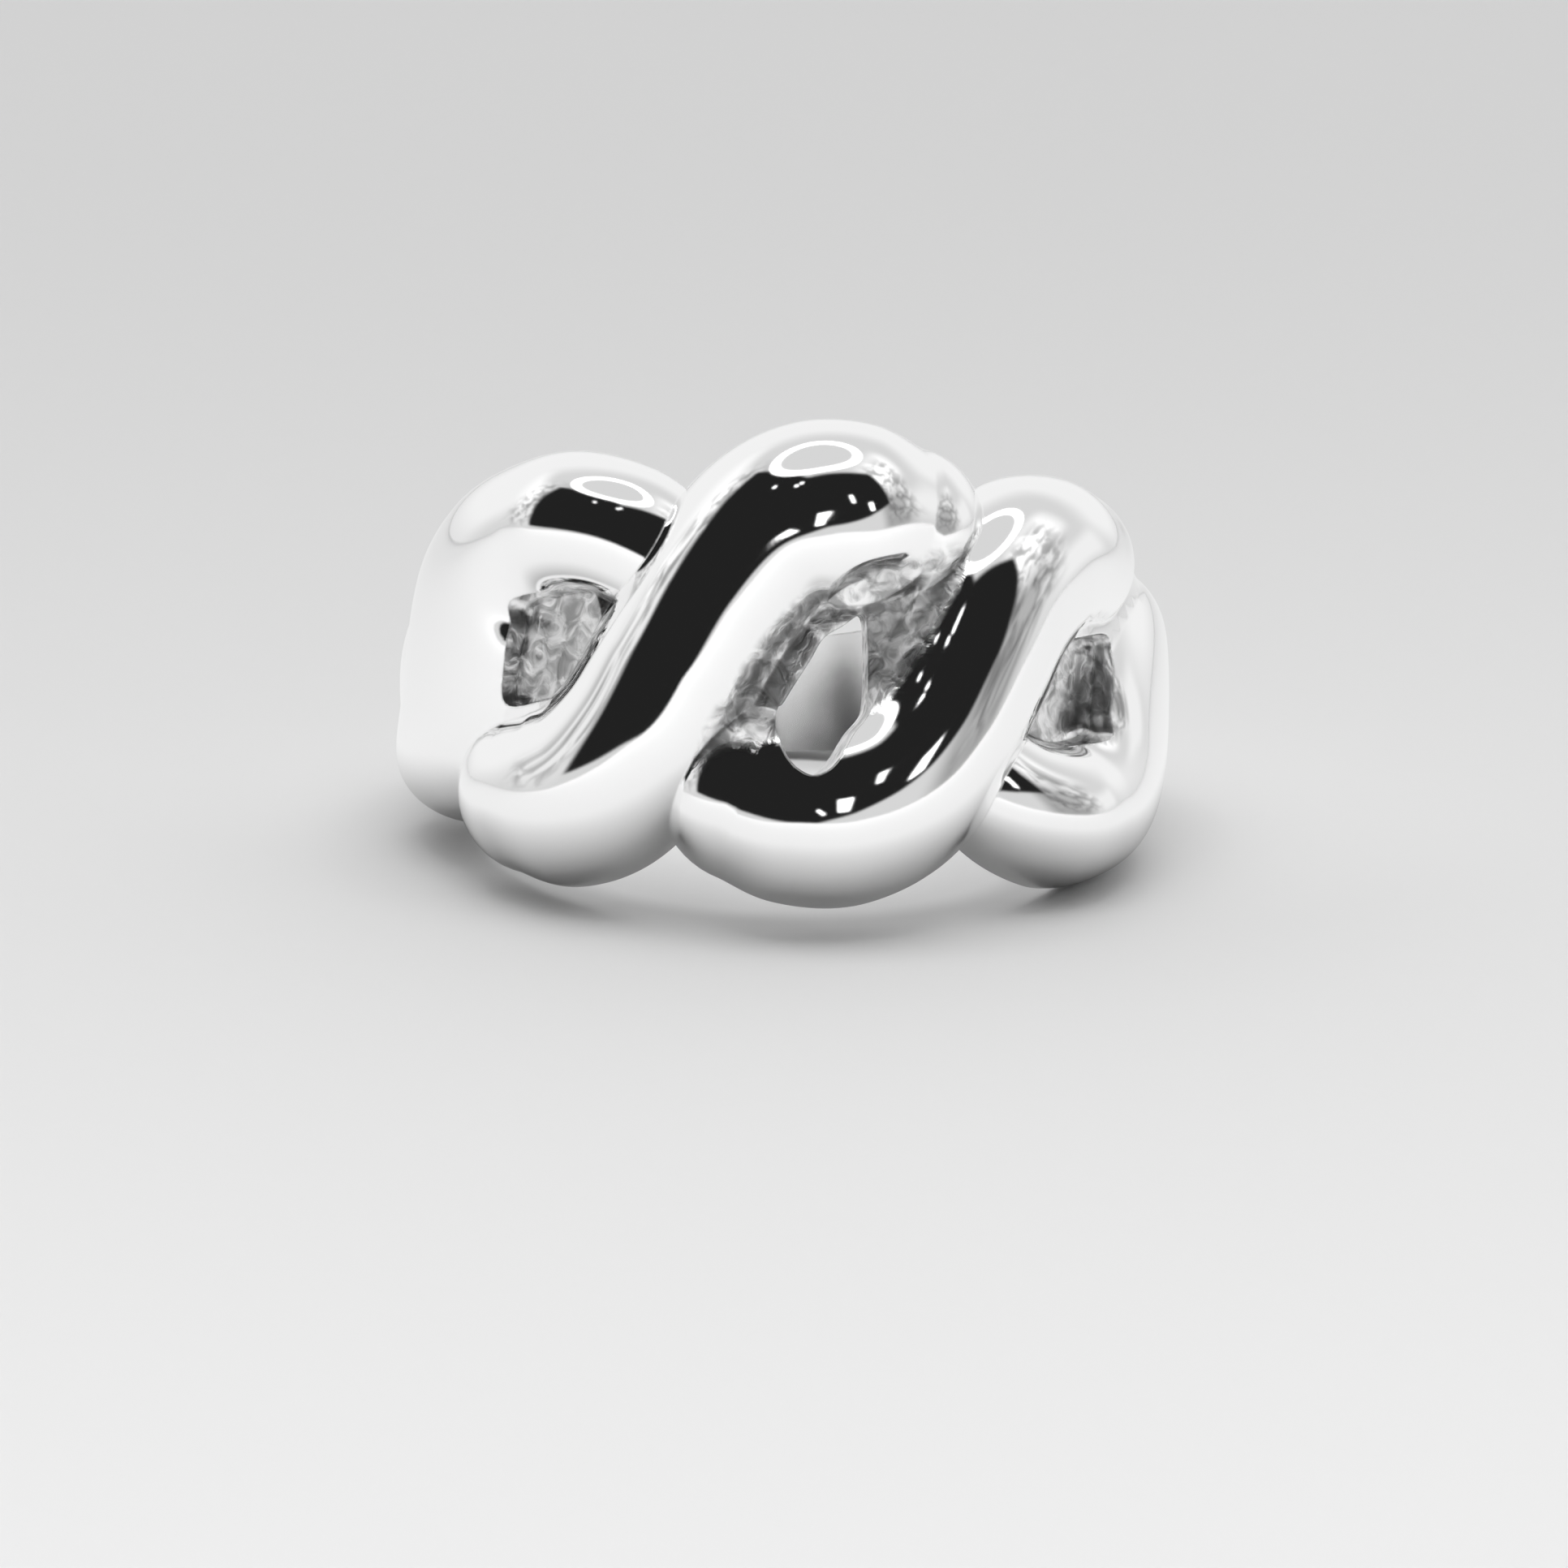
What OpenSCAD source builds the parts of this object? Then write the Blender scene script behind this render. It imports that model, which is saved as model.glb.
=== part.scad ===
// Chain link band ring: two large S-shaped links lie over a smooth band, cast in one piece.
// Every link is a dome-shaped strand swept along a short table of stations round the finger.
// The ring lies on its flat side: the chain front faces -Y and the plain back has sunk to the surface.

/* [Finger hole] */
// Inner diameter of the finger hole
bore_d = 17.5; // [16.5:0.25:18]

/* [Chain front] */
// Outer diameter over the crowns of the links
crown_d = 23.34; // [22.8:0.06:24]
// Height of the chain front along the finger
front_h = 14.4; // [13.4:0.02:15.4]

/* [Back] */
// Height of the plain back along the finger
back_h = 3.5; // [2.6:0.1:4]
// Wall thickness of the plain back
back_t = 1.8; // [1.4:0.1:2.2]
// Angle from the front at which the band begins, under the links
band_start = 34; // [30:1:38]

/* [Smoothness] */
// Sections swept between two stations of a link
steps = 2; // [2:1:4]
// Sides of a link's section
link_sides = 16; // [12:2:20]
// Sides of the band's section
band_sides = 16; // [16:2:24]
// Sections round the band
band_sections = 36; // [30:2:54]

/* [Hidden] */

crown_r = crown_d / 2;
bore_r = bore_d / 2;
wall = crown_r - bore_r;
half_h = front_h / 2;

// The tables were drawn for a front 14.4 high, a wall 2.92 thick and an outer diameter of 23.34,
// and stretch with them.
high = front_h / 14.4;
thick = wall / 2.92;
wide = crown_d / 23.34;

// The height of the ring follows a wedge round the finger, as a share of the front's.
wedge_mean = 0.58;
wedge_swing = 0.42;

// Columns of the tables: angle from the front, height of the middle line, how far its crown sinks
// below the outer circle, half width and half thickness of the strand
ANGLE = 0;
RISE = 1;
SINK = 2;
HALF_W = 3;
HALF_T = 4;

// Left link, from its hook under the right link down to its round end over the band
left_link = [
    [17, 4, 0.7, 2.4, 2.3],
    [8, 4.25, 0.1, 2.8, 2.6],
    [-1.5, 4.25, 0, 2.9, 2.7],
    [-10.5, 3.65, 0, 2.75, 2.75],
    [-19, 2.1, 0, 2.7, 2.75],
    [-27, 0.1, 0, 2.75, 2.75],
    [-34.5, -1.8, 0, 2.85, 2.7],
    [-43, -3.05, 0, 2.9, 2.6],
    [-52, -3.45, 0, 2.8, 2.5],
    [-60, -3.3, 0.1, 2.5, 2.4],
];

// Right link, written as if it were turned half round the front's middle onto the left one
right_link = [
    [14.5, 3.75, 0.6, 2.35, 2.3],
    [7.5, 4.05, 0.1, 2.9, 2.6],
    [-1.5, 4.1, 0, 3, 2.7],
    [-11.5, 3.4, 0, 2.95, 2.75],
    [-19.5, 2, 0, 2.8, 2.75],
    [-27, 0, 0, 2.8, 2.75],
    [-34.5, -1.85, 0, 2.8, 2.7],
    [-43, -2.9, 0, 2.7, 2.6],
    [-50, -3.15, 0, 2.5, 2.5],
    [-55, -3.05, 0.1, 2.35, 2.4],
];

// Stretch of each hook that runs on below the crowns, under the neighbouring link
hook_end = [
    [14, 4.0, 1.1, 1.9, 2.1],
    [17.5, 2.4, 1.6, 1.8, 1.9],
    [18.5, 0.6, 1.9, 1.75, 1.7],
    [18, -1.2, 2.1, 1.7, 1.6],
];

// Left prong, that grows out of the side of the band and hooks under the left link
left_prong = [
    [-100, -2, 0.2, 1.8, 2.35],
    [-90, -1.8, 0, 2.5, 2.5],
    [-80, -0.7, 0, 3.9, 2.5],
    [-70, 1.9, 0, 3.8, 2.6],
    [-62, 3.4, 0, 3, 2.6],
    [-54, 4.15, 0, 2.4, 2.6],
    [-46, 4.35, 0, 2.2, 2.6],
    [-36, 3.85, 0.5, 2.1, 2.35],
    [-28, 2.75, 1.15, 1.95, 2.1],
    [-22, 1.4, 1.9, 1.7, 1.8],
];

// Foot of the right prong, written as if it were turned half round onto the left one's
right_foot = [
    [-100, -1.4, 0.2, 1.8, 2.35],
    [-90, -1.2, 0, 2.4, 2.5],
    [-80, -0.1, 0, 3.3, 2.5],
];
right_prong = concat(right_foot, [for (i = [len(right_foot) : len(left_prong) - 1]) left_prong[i]]);

// Floor under the front, between the links
web = [
    [-40, 0, 1.8, 4.4, 0.9],
    [0, 0, 1.8, 4.6, 0.9],
    [40, 0, 1.8, 4.4, 0.9],
];

// Columns of the openings: across and up at the rim, then across and up at the bottom of the slope,
// seen along the radius at the opening's own angle and running clockwise
RIM = 0;
FLOOR = 2;

// Opening cut through between the two links, sloping in from its rim
centre_opening = [
    [-1.76, -1.23, -1.55, -1.3],
    [-2.7, -1.05, -1.39, -1.15],
    [-1.95, -0.2, -0.99, -0.54],
    [-0.9, 1.2, -0.55, 0.1],
    [0.1, 2.35, -0.15, 0.72],
    [1.3, 2.95, 0.4, 1.05],
    [3.5, 3.1, 1.05, 1.4],
    [2.85, 1.75, 1.14, 0.6],
    [2.05, 0.4, 1.12, -0.5],
    [1.35, -0.9, 1.05, -1.3],
    [0.9, -1.64, 0.9, -1.64],
    [0.48, -2.1, 0.48, -2.1],
    [0.05, -2.75, 0.05, -2.75],
    [-0.41, -3.2, -0.41, -3.2],
    [-0.93, -3.3, -0.93, -3.3],
    [-1.45, -2.85, -1.45, -2.85],
    [-1.7, -2, -1.7, -2],
];

// Recess between a link and the prong beside it
side_pocket = [
    [1.6, 2.5, 1.5, 2.3],
    [2.2, 1.3, 2.2, 1.3],
    [1.5, -0.4, 1.5, -0.3],
    [-0.2, -0.85, -0.3, -0.7],
    [-1.4, -0.8, -1.5, -0.7],
    [-1.2, 0.4, -1.35, 0.4],
    [-0.9, 1.4, -1.05, 1.35],
    [-0.6, 2.25, -0.75, 2.05],
];

// Radii of an opening's bottom, of the foot, the waist and the head of its slope, and of its upper
// end, and how far its outline has gone from the rim's to the floor's at each
centre_radii = [6, 9.8, 10.2, 10.9, 14];
pocket_radii = [9.9, 9.95, 10.3, 10.9, 14];
depth_shares = [1, 1, 0.3, 0, 0];
pocket_angle = -50;
opening_steps = 2;

// Round ends: sections in each, and the share of a half width left flat at the tip
cap_sections = 4;
cap_tip = 0.35;

// The band: its share of the wedge's height, the length of its rounded front end in degrees,
// how far it reaches into the finger hole before it is bored, and where its wall is full
band_share = 0.93;
band_cap = 18;
band_cap_sections = 5;
band_inset = 0.5;
band_full_angle = 92;
band_round = 0.9;
band_edge = 0.35;

// Shares of its dome and of its height that the band keeps under the links, the share of the dome
// at the sides, and the angles over which they change
dome_front = 0.70;
dome_back = 0.94;
rise_front = 0.95;
aside_from = 50;
aside_over = 40;

// A rough bore is taken out of the swept strands before the finger hole is drilled true.
rough_gap = 0.15;
rough_fn = 48;
bore_fn = 180;
reach = 2 * front_h;

function unit(v) = v / norm(v);
function wedge(angle) = wedge_mean + wedge_swing * cos(angle);
function radial(angle) = [sin(angle), -cos(angle), 0];
function soft(u) = let (x = min(max(u, 0), 1)) x * x * (3 - 2 * x);
function signed_power(x, p) = sign(x) * pow(abs(x), p);

// Catmull-Rom curve through rows b and c, at share t between them
function between(a, b, c, d, t) =
    (2 * b + (c - a) * t + (2 * a - 5 * b + 4 * c - d) * t * t + (3 * b - a - 3 * c + d) * t * t * t) / 2;

// A table's rows with smooth rows added between them
function smooth_rows(table) =
    let (last = len(table) - 1)
    [
        for (i = [0 : last - 1])
            let (before = i > 0 ? table[i - 1] : 2 * table[0] - table[1])
            let (after = i + 2 <= last ? table[i + 2] : 2 * table[last] - table[last - 1])
            for (k = [0 : steps - 1]) between(before, table[i], table[i + 1], after, k / steps),
        table[last],
    ];

function half_w(row) = row[HALF_W] * high;
function half_t(row) = row[HALF_T] * thick;

// Middle point of a strand's section
function middle(row) =
    (crown_r - row[SINK] * thick - half_t(row)) * radial(row[ANGLE]) + [0, 0, row[RISE] * high];

// Direction of a strand at one row, square to the radius there. It is taken over a whole station
// to either side, so that the sections don't cross one another inside a tight turn.
function heading(rows, i) =
    let (here = radial(rows[i][ANGLE]))
    let (way = middle(rows[min(i + steps, len(rows) - 1)]) - middle(rows[max(i - steps, 0)]))
    unit(way - (way * here) * here);

// Section of a strand: an ellipse across the heading, moved along it and shrunk for a round end
function section(rows, i, along = 0, shrink = 1) =
    let (here = radial(rows[i][ANGLE]), way = heading(rows, i), side = cross(way, here))
    let (centre = middle(rows[i]) + along * half_w(rows[i]) * way)
    [
        for (s = [0 : link_sides - 1])
            let (turn = 360 * s / link_sides)
            centre + shrink * (half_w(rows[i]) * cos(turn) * side + half_t(rows[i]) * sin(turn) * here)
    ];

// All sections of a strand, with a round end at each end
function strand_sections(table) =
    let (rows = smooth_rows(table), last = len(rows) - 1)
    [
        for (j = [cap_sections : -1 : 1])
            let (q = j / (cap_sections + cap_tip)) section(rows, 0, -q, sqrt(1 - q * q)),
        for (i = [0 : last]) section(rows, i),
        for (j = [1 : cap_sections])
            let (q = j / (cap_sections + cap_tip)) section(rows, last, q, sqrt(1 - q * q)),
    ];

// Height of the band's edge above its middle, from the wedge to the plain back
function band_half_h(angle) =
    let (behind = (1 - cos(angle)) / 2)
    half_h * band_share * wedge(angle) + (back_h / 2 - half_h * band_share * wedge(180)) * behind * behind;

// Thickness of the band's wall, full at the sides and thin behind
function band_wall(angle) =
    back_t + (wall - back_t) * soft((wedge(angle) - wedge(180)) / (wedge(band_full_angle) - wedge(180)));

// How far an angle has gone from under the links, 0, to the sides, 1
function aside(angle) = soft((acos(cos(angle)) - aside_from) / aside_over);

// Section of the band: a low dome outside the bore, flattened towards the band's front end
function band_section(angle, share) =
    let (base = bore_r - band_inset, deep = band_wall(angle) + band_inset)
    let (dome_share = dome_front + (dome_back - dome_front) * aside(angle))
    let (dome = deep * (band_edge + (1 - band_edge) * share) * dome_share)
    let (rise = band_half_h(angle) * share * (rise_front + (1 - rise_front) * aside(angle)))
    [
        for (s = [0 : band_sides - 1])
            let (turn = 360 * s / band_sides)
            let (out = signed_power(cos(turn), band_round), up = signed_power(sin(turn), band_round))
            (base + (out > 0 ? dome : band_inset) * out) * radial(angle) + [0, 0, rise * up]
    ];

// All sections of the band, from its left front end round the back to its right one
function band_sections_all() =
    let (first = band_start + band_cap, span = 360 - 2 * first)
    [
        for (j = [band_cap_sections : -1 : 1])
            let (q = j / (band_cap_sections + cap_tip)) band_section(first - band_cap * q, sqrt(1 - q * q)),
        for (i = [0 : band_sections - 1]) band_section(first + span * i / (band_sections - 1), 1),
        for (j = [1 : band_cap_sections])
            let (q = j / (band_cap_sections + cap_tip))
            band_section(first + span + band_cap * q, sqrt(1 - q * q)),
    ];

// Closed Catmull-Rom curve through the rows of an opening
function closed_rows(table) =
    let (count = len(table))
    [
        for (i = [0 : count - 1], k = [0 : opening_steps - 1])
            between(table[(i + count - 1) % count], table[i], table[(i + 1) % count],
                    table[(i + 2) % count], k / opening_steps)
    ];

// One outline of an opening's cutter, square to the radius at its angle
function outline(rows, angle, radius, share) =
    let (out = radial(angle), side = [-out.y, out.x, 0])
    [
        for (row = rows)
            let (across = row[RIM] + share * (row[FLOOR] - row[RIM]))
            let (up = row[RIM + 1] + share * (row[FLOOR + 1] - row[RIM + 1]))
            radius * wide * out + across * side + [0, 0, up * high]
    ];

// The cutter's outlines from its bottom to its upper end
function opening_sections(table, angle, radii) =
    let (rows = closed_rows(table))
    [for (i = [0 : len(radii) - 1]) outline(rows, angle, radii[i], depth_shares[i])];

function sum(v, i = 0) = i == len(v) - 1 ? v[i] : v[i] + sum(v, i + 1);
function mean(v) = sum(v) / len(v);
function flat_list(lists) = [for (list = lists) for (item = list) item];

// Closed skin over a row of sections, closed by a fan of triangles at both ends
module skin(sections) {
    sides = len(sections[0]);
    last = len(sections) - 1;
    points = concat(flat_list(sections), [mean(sections[0]), mean(sections[last])]);
    head = len(points) - 2;
    tail = len(points) - 1;
    walls = [
        for (i = [0 : last - 1], s = [0 : sides - 1])
            let (a = i * sides + s, b = i * sides + (s + 1) % sides)
            each [[a, b + sides, a + sides], [a, b, b + sides]],
    ];
    fans = [
        for (s = [0 : sides - 1])
            let (t = (s + 1) % sides)
            each [[head, t, s], [tail, last * sides + s, last * sides + t]],
    ];
    polyhedron(points = points, faces = concat(walls, fans), convexity = 6);
}

// A strand's mate on the other side of the front's middle
module half_turn() {
    rotate([0, 180, 0]) children();
}

function half_turned(points) = [for (p = points) [-p.x, p.y, -p.z]];

left_sections = strand_sections(left_link);
right_sections = strand_sections(right_link);
hook_sections = strand_sections(hook_end);
left_prong_sections = strand_sections(left_prong);
right_prong_sections = strand_sections(right_prong);
web_sections = strand_sections(web);
through_sections = opening_sections(centre_opening, 0, centre_radii);
pocket_sections = opening_sections(side_pocket, pocket_angle, pocket_radii);
shank_sections = band_sections_all();

// Every point of the swept strands that lies outside the finger hole, from which the size and the
// resting place follow
swept_points = concat(
    flat_list(left_sections),
    half_turned(flat_list(right_sections)),
    flat_list(left_prong_sections),
    half_turned(flat_list(right_prong_sections)),
    flat_list(shank_sections)
);
all_points = [for (p = swept_points) if (norm([p.x, p.y]) > bore_r) p];
swept_d = max([for (p = all_points) p.x]) - min([for (p = all_points) p.x]);
fit = crown_d / swept_d;

// The ring leans until the two lowest lobes of the front and the back's lower edge are level.
rest_front_r = 0.58 * crown_r;
rest_back_r = bore_r + 0.4 * back_t;
lean = atan((half_h - back_h / 2) / (rest_front_r + rest_back_r));

function leaned(p) = [p.x, p.y * cos(lean) + p.z * sin(lean), p.z * cos(lean) - p.y * sin(lean)] * fit;
leaned_points = [for (p = all_points) leaned(p)];
lift = -min([for (p = leaned_points) p.z]);
shift_y = -(min([for (p = leaned_points) p.y]) + max([for (p = leaned_points) p.y])) / 2;

// The links, their hooks and the floor between them, with the opening cut through
module links() {
    difference() {
        union() {
            skin(left_sections);
            half_turn() skin(right_sections);
            skin(hook_sections);
            half_turn() skin(hook_sections);
            skin(web_sections);
        }
        skin(through_sections);
    }
}

// The band and its two prongs, with a recess beside each
module shank() {
    difference() {
        union() {
            skin(shank_sections);
            skin(left_prong_sections);
            half_turn() skin(right_prong_sections);
        }
        skin(pocket_sections);
        half_turn() skin(pocket_sections);
    }
}

// The casting before the finger hole is drilled: links and shank as one body, roughly bored
module casting() {
    resize([crown_d, 0, 0], auto = true)
        difference() {
            union() {
                links();
                shank();
            }
            cylinder(r = bore_r - rough_gap, h = reach, center = true, $fn = rough_fn);
        }
}

module chain_link_band() {
    color("silver")
        translate([0, shift_y, lift])
            rotate([-lean, 0, 0])
                difference() {
                    casting();
                    cylinder(r = bore_r, h = reach, center = true, $fn = bore_fn);
                }
}

chain_link_band();
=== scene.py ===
"""Chain link band ring: polished silver casting, resting on a pale studio floor."""

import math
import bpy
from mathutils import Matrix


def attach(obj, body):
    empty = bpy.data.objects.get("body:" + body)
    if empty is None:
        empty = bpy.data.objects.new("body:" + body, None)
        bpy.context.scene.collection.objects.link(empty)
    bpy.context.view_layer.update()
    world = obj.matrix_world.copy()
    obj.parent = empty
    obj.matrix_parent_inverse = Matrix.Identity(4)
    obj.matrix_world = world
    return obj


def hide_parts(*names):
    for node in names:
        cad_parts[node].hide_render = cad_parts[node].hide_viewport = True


bl_info = {
    "name": "Chain Link Band Ring",
    "version": (1, 0, 0),
    "blender": (4, 5, 0),
    "location": "View3D > Sidebar > Ring",
    "description": "Builds a wide silver ring with a chain front, and a plain studio for it",
    "category": "Add Mesh",
}

import bpy
import numpy as np
from bpy.props import FloatProperty, FloatVectorProperty, IntProperty, PointerProperty
from mathutils import Matrix, Vector

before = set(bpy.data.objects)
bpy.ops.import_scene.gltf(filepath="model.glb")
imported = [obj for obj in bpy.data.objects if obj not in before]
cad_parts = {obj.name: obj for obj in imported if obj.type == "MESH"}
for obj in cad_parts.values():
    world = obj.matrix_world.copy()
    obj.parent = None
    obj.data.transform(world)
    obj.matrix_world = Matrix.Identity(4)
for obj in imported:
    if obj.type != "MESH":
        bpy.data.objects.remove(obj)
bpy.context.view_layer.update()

NODE = "chain_link_band"
MM = 0.001

# Columns of the stations: angle from the front in degrees, height of the middle line, how far the
# crown sinks below the outer circle, half width and half thickness of the strand, in millimetres
ANGLE, RISE, SINK, HALF_W, HALF_T = range(5)

# Left link, from its hook under the right link down to its round end over the band
LEFT_LINK = [
    (17, 4.0, 0.7, 2.4, 2.3),
    (8, 4.25, 0.1, 2.8, 2.6),
    (-1.5, 4.25, 0, 2.9, 2.7),
    (-10.5, 3.65, 0, 2.75, 2.75),
    (-19, 2.1, 0, 2.7, 2.75),
    (-27, 0.1, 0, 2.75, 2.75),
    (-34.5, -1.8, 0, 2.85, 2.7),
    (-43, -3.05, 0, 2.9, 2.6),
    (-52, -3.45, 0, 2.8, 2.5),
    (-60, -3.3, 0.1, 2.5, 2.4),
]

# Right link, written as if it were turned half round the front's middle onto the left one
RIGHT_LINK = [
    (14.5, 3.6, 0.6, 2.75, 2.35),
    (7.5, 4.05, 0.1, 2.9, 2.6),
    (-1.5, 4.1, 0, 3.0, 2.7),
    (-11.5, 3.4, 0, 2.95, 2.75),
    (-19.5, 2.0, 0, 2.8, 2.75),
    (-27, 0, 0, 2.8, 2.75),
    (-34.5, -1.85, 0, 2.8, 2.7),
    (-43, -2.9, 0, 2.7, 2.6),
    (-50, -3.15, 0, 2.5, 2.5),
    (-55, -3.05, 0.1, 2.35, 2.4),
]

# Stretch of each hook that runs on below the crowns, under the neighbouring link
HOOK_END = [
    (14, 4.0, 1.1, 1.9, 2.1),
    (17.5, 2.4, 1.6, 1.8, 1.9),
    (18.5, 0.6, 1.9, 1.75, 1.7),
    (18, -1.2, 2.1, 1.7, 1.6),
]

# Left prong, that grows out of the side of the band and hooks under the left link
LEFT_PRONG = [
    (-100, -2.0, 0.2, 1.8, 2.35),
    (-90, -1.8, 0, 2.5, 2.5),
    (-80, -0.7, 0, 3.9, 2.5),
    (-70, 1.9, 0, 3.8, 2.6),
    (-62, 3.4, 0, 3.0, 2.6),
    (-54, 4.15, 0, 2.4, 2.6),
    (-46, 4.35, 0, 2.2, 2.6),
    (-36, 3.85, 0.5, 2.1, 2.35),
    (-28, 2.75, 1.15, 1.95, 2.1),
    (-22, 1.4, 1.9, 1.7, 1.8),
]

# Foot of the right prong, written as if it were turned half round onto the left one's
RIGHT_FOOT = [
    (-100, -1.4, 0.2, 1.8, 2.35),
    (-90, -1.2, 0, 2.4, 2.5),
    (-80, -0.1, 0, 3.3, 2.5),
]
RIGHT_PRONG = RIGHT_FOOT + LEFT_PRONG[len(RIGHT_FOOT):]

# Floor under the front, between the links
WEB = [
    (-40, 0, 1.8, 4.4, 0.9),
    (0, 0, 1.8, 4.6, 0.9),
    (40, 0, 1.8, 4.4, 0.9),
]

# Opening cut through between the two links, sloping in from its rim. Its columns are across and up
# at the rim, then across and up at the bottom of the slope, seen along the radius at the opening's
# own angle and running clockwise, in millimetres
CENTRE_OPENING = [
    (-1.76, -1.23, -1.55, -1.3),
    (-2.7, -1.05, -1.39, -1.15),
    (-1.95, -0.2, -0.99, -0.54),
    (-0.9, 1.2, -0.55, 0.1),
    (0.1, 2.35, -0.15, 0.72),
    (1.3, 2.95, 0.4, 1.05),
    (3.5, 3.1, 1.05, 1.4),
    (2.85, 1.75, 1.14, 0.6),
    (2.05, 0.4, 1.12, -0.5),
    (1.35, -0.9, 1.05, -1.3),
    (0.9, -1.64, 0.9, -1.64),
    (0.48, -2.1, 0.48, -2.1),
    (0.05, -2.75, 0.05, -2.75),
    (-0.41, -3.2, -0.41, -3.2),
    (-0.93, -3.3, -0.93, -3.3),
    (-1.45, -2.85, -1.45, -2.85),
    (-1.7, -2.0, -1.7, -2.0),
]

# Recess between a link and the prong beside it, in the same columns
SIDE_POCKET = [
    (1.6, 2.5, 1.5, 2.3),
    (2.2, 1.3, 2.2, 1.3),
    (1.5, -0.4, 1.5, -0.3),
    (-0.2, -0.85, -0.3, -0.7),
    (-1.4, -0.8, -1.5, -0.7),
    (-1.2, 0.4, -1.35, 0.4),
    (-0.9, 1.4, -1.05, 1.35),
    (-0.6, 2.25, -0.75, 2.05),
]

# Radii of an opening's bottom, of the foot, the waist and the head of its slope, and of its upper
# end, in millimetres, and how far its outline has gone from the rim's to the floor's at each
CENTRE_RADII = (6, 9.8, 10.2, 10.9, 14)
POCKET_RADII = (9.9, 9.95, 10.3, 10.9, 14)
DEPTH_SHARES = (1, 1, 0.3, 0, 0)
POCKET_ANGLE = -50

# The ring's height follows a wedge round the finger, as a share of the front's: a mean and a swing
WEDGE_MEAN, WEDGE_SWING = 0.58, 0.42

# The band: its share of the wedge, the length of its rounded front ends in degrees, how far it
# reaches into the finger hole before it is drilled, where its wall is full, the power of its
# section and the share of its dome left at the ends
BAND_SHARE = 0.93
BAND_CAP = 18
BAND_INSET = 0.5
BAND_FULL_ANGLE = 92
BAND_ROUND = 0.9
BAND_EDGE = 0.35

# Shares of the dome under the links and at the sides, share of the height under the links, and the
# angles in degrees between which they change
DOME_FRONT, DOME_SIDE = 0.70, 0.94
RISE_FRONT = 0.95
ASIDE_FROM, ASIDE_TO = 50, 90

# Where the ring rests: radii of its lowest places in front and behind, as shares of the outer
# radius and of the back's thickness past the finger hole
REST_FRONT, REST_BACK = 0.58, 0.4

# Middle of the finger hole in the part's own place, in millimetres
RING_MIDDLE = (0, 1.28741, 4.638)

# The drill's reach past the ring's middle in millimetres, and its sides
DRILL_REACH = 20
DRILL_SIDES = 720

# Angle between two faces from which their edge is shaded sharp
SHARP_ANGLE = math.radians(35)


class RingSizes(bpy.types.PropertyGroup):
    """Sizes of the ring"""

    bore_d: FloatProperty(
        name="Finger hole", description="Inner diameter of the finger hole",
        default=17.5 * MM, unit="LENGTH")
    crown_d: FloatProperty(
        name="Outer diameter", description="Outer diameter over the crowns of the links",
        default=23.34 * MM, unit="LENGTH")
    front_h: FloatProperty(
        name="Front height", description="Height of the chain front along the finger",
        default=14.4 * MM, unit="LENGTH")
    back_h: FloatProperty(
        name="Back height", description="Height of the plain back along the finger",
        default=3.5 * MM, unit="LENGTH")
    back_t: FloatProperty(
        name="Back thickness", description="Wall thickness of the plain back",
        default=1.8 * MM, unit="LENGTH")
    band_start: FloatProperty(
        name="Band start", description="Angle from the front at which the band begins",
        default=math.radians(34), subtype="ANGLE")
    steps: IntProperty(
        name="Steps", description="Sections swept between two stations of a strand",
        default=12, min=2, max=24)
    sides: IntProperty(
        name="Sides", description="Sides of a strand's section", default=72, min=16, max=120)


class SilverLook(bpy.types.PropertyGroup):
    """Finish of the silver"""

    colour: FloatVectorProperty(
        name="Silver", description="Colour of the polished silver",
        default=(0.96, 0.96, 0.96, 1.0), size=4, subtype="COLOR", min=0, max=1)
    roughness: FloatProperty(
        name="Polish", description="Roughness of the mirror polish",
        default=0.03, min=0, max=1)
    satin: FloatProperty(
        name="Satin", description="Roughness inside the finger hole", default=0.1, min=0, max=1)
    cast: FloatProperty(
        name="Cast skin", description="Roughness of the unpolished recesses",
        default=0.3, min=0, max=1)
    skin_depth: FloatProperty(
        name="Skin depth", description="Height of the ripples of the cast skin",
        default=0.035 * MM, unit="LENGTH")
    wave_depth: FloatProperty(
        name="Wave depth", description="Height of the faint waves that the polishing leaves",
        default=0.004 * MM, unit="LENGTH")
    rim: FloatProperty(
        name="Rim", description="Radius of the broken edges round the openings",
        default=0.09 * MM, unit="LENGTH")


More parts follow.
